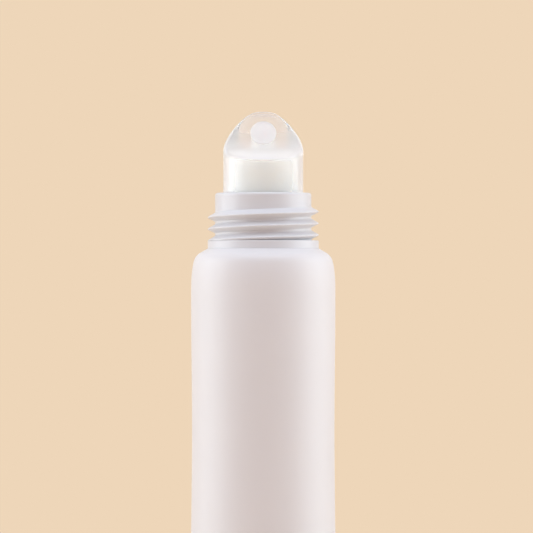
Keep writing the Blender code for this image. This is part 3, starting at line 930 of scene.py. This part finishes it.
def softbox(name, power, place, size, shade, shows=True):
    """Area light that looks at the tube. One that doesn't show isn't seen through clear parts."""
    light = bpy.data.lights.new(name, "AREA")
    light.shape = "RECTANGLE"
    light.size, light.size_y = size
    light.energy = power
    light.color = shade
    lamp = bpy.data.objects.new(name, light)
    bpy.context.scene.collection.objects.link(lamp)
    lamp.location = place
    look = Vector(LAMP_TARGET) - Vector(place)
    lamp.rotation_euler = look.to_track_quat("-Z", "Y").to_euler()
    lamp.visible_camera = False
    lamp.visible_transmission = shows


def build_lights(stage):
    """Two upright softboxes square to the sides, one above and one high in front.

    Only the one in front may be seen through the clear tip: the others would bleach what lies
    inside it.
    """
    for name, place in SIDE_LAMPS.items():
        softbox(name, stage.side_power, place, SIDE_LAMP_SIZE, stage.side_shade, shows=False)
    softbox("top_softbox", stage.top_power, TOP_LAMP, TOP_LAMP_SIZE, stage.top_shade, shows=False)
    softbox("front_softbox", stage.front_power, FRONT_LAMP, FRONT_LAMP_SIZE, stage.top_shade)


def build_camera(stage):
    """Level camera with a long lens, at the photograph's height and framing."""
    data = bpy.data.cameras.new("camera")
    data.sensor_width = SENSOR_WIDTH
    data.lens = SENSOR_WIDTH * stage.distance / stage.frame_width
    data.clip_start = 0.01
    camera = bpy.data.objects.new("camera", data)
    camera.location = (stage.eye_right, -stage.distance, RIM_HEIGHT - stage.eye_drop)
    camera.rotation_euler = (math.pi / 2, 0, 0)
    bpy.context.scene.collection.objects.link(camera)
    bpy.context.scene.camera = camera


class BALMTUBE_OT_sleeve(Operator):
    """Builds the extruded sleeve with its rolled shoulder and crimped tail"""

    bl_idname = "balm_tube.sleeve"
    bl_label = "Build Sleeve"

    def execute(self, context):
        build_sleeve(context.scene.balm_sleeve, context.scene.balm_head)
        return {"FINISHED"}


class BALMTUBE_OT_head(Operator):
    """Builds the moulded head with its collar and threaded neck"""

    bl_idname = "balm_tube.head"
    bl_label = "Build Head"

    def execute(self, context):
        build_head(context.scene.balm_sleeve, context.scene.balm_head)
        return {"FINISHED"}


class BALMTUBE_OT_tip(Operator):
    """Builds the clear scooped applicator tip"""

    bl_idname = "balm_tube.tip"
    bl_label = "Build Applicator Tip"

    def execute(self, context):
        build_tip(context.scene.balm_tip)
        return {"FINISHED"}


class BALMTUBE_OT_insert(Operator):
    """Builds the milky insert with its drum and plug"""

    bl_idname = "balm_tube.insert"
    bl_label = "Build Applicator Insert"

    def execute(self, context):
        build_insert(context.scene.balm_tip, context.scene.balm_insert)
        return {"FINISHED"}


class BALMTUBE_OT_balm(Operator):
    """Builds the balm in the tip and in the tube"""

    bl_idname = "balm_tube.balm"
    bl_label = "Build Balm"

    def execute(self, context):
        scene = context.scene
        material = milky_balm(scene.balm_balm)
        build_tip_balm(scene.balm_tip, scene.balm_insert, scene.balm_balm, material)
        build_tube_balm(scene.balm_sleeve, scene.balm_head, material)
        return {"FINISHED"}


class BALMTUBE_OT_stage(Operator):
    """Builds the floor, the world, the softboxes and the camera"""

    bl_idname = "balm_tube.stage"
    bl_label = "Build Stage"

    def execute(self, context):
        stage = context.scene.balm_stage
        build_world(stage)
        build_floor(stage)
        build_lights(stage)
        build_camera(stage)
        context.scene.view_settings.view_transform = "Standard"
        return {"FINISHED"}


class BALMTUBE_PT_sidebar(Panel):
    """Buttons for every piece and the stage"""

    bl_label = "Balm Tube"
    bl_idname = "BALMTUBE_PT_sidebar"
    bl_space_type = "VIEW_3D"
    bl_region_type = "UI"
    bl_category = "Balm Tube"

    def draw(self, context):
        for operator in OPERATORS:
            self.layout.operator(operator.bl_idname)


GROUPS = {
    "balm_sleeve": SleeveSettings,
    "balm_head": HeadSettings,
    "balm_tip": TipSettings,
    "balm_insert": InsertSettings,
    "balm_balm": BalmSettings,
    "balm_stage": StageSettings,
}
OPERATORS = (
    BALMTUBE_OT_sleeve,
    BALMTUBE_OT_head,
    BALMTUBE_OT_tip,
    BALMTUBE_OT_insert,
    BALMTUBE_OT_balm,
    BALMTUBE_OT_stage,
)


def register():
    for group in (*GROUPS.values(), *OPERATORS, BALMTUBE_PT_sidebar):
        bpy.utils.register_class(group)
    for name, group in GROUPS.items():
        setattr(bpy.types.Scene, name, PointerProperty(type=group))


def unregister():
    for name in GROUPS:
        delattr(bpy.types.Scene, name)
    for group in (BALMTUBE_PT_sidebar, *reversed(OPERATORS), *reversed(GROUPS.values())):
        bpy.utils.unregister_class(group)


def main():
    register()
    bpy.ops.balm_tube.sleeve()
    bpy.ops.balm_tube.head()
    bpy.ops.balm_tube.tip()
    bpy.ops.balm_tube.insert()
    bpy.ops.balm_tube.balm()
    bpy.ops.balm_tube.stage()


if __name__ == "__main__":
    main()
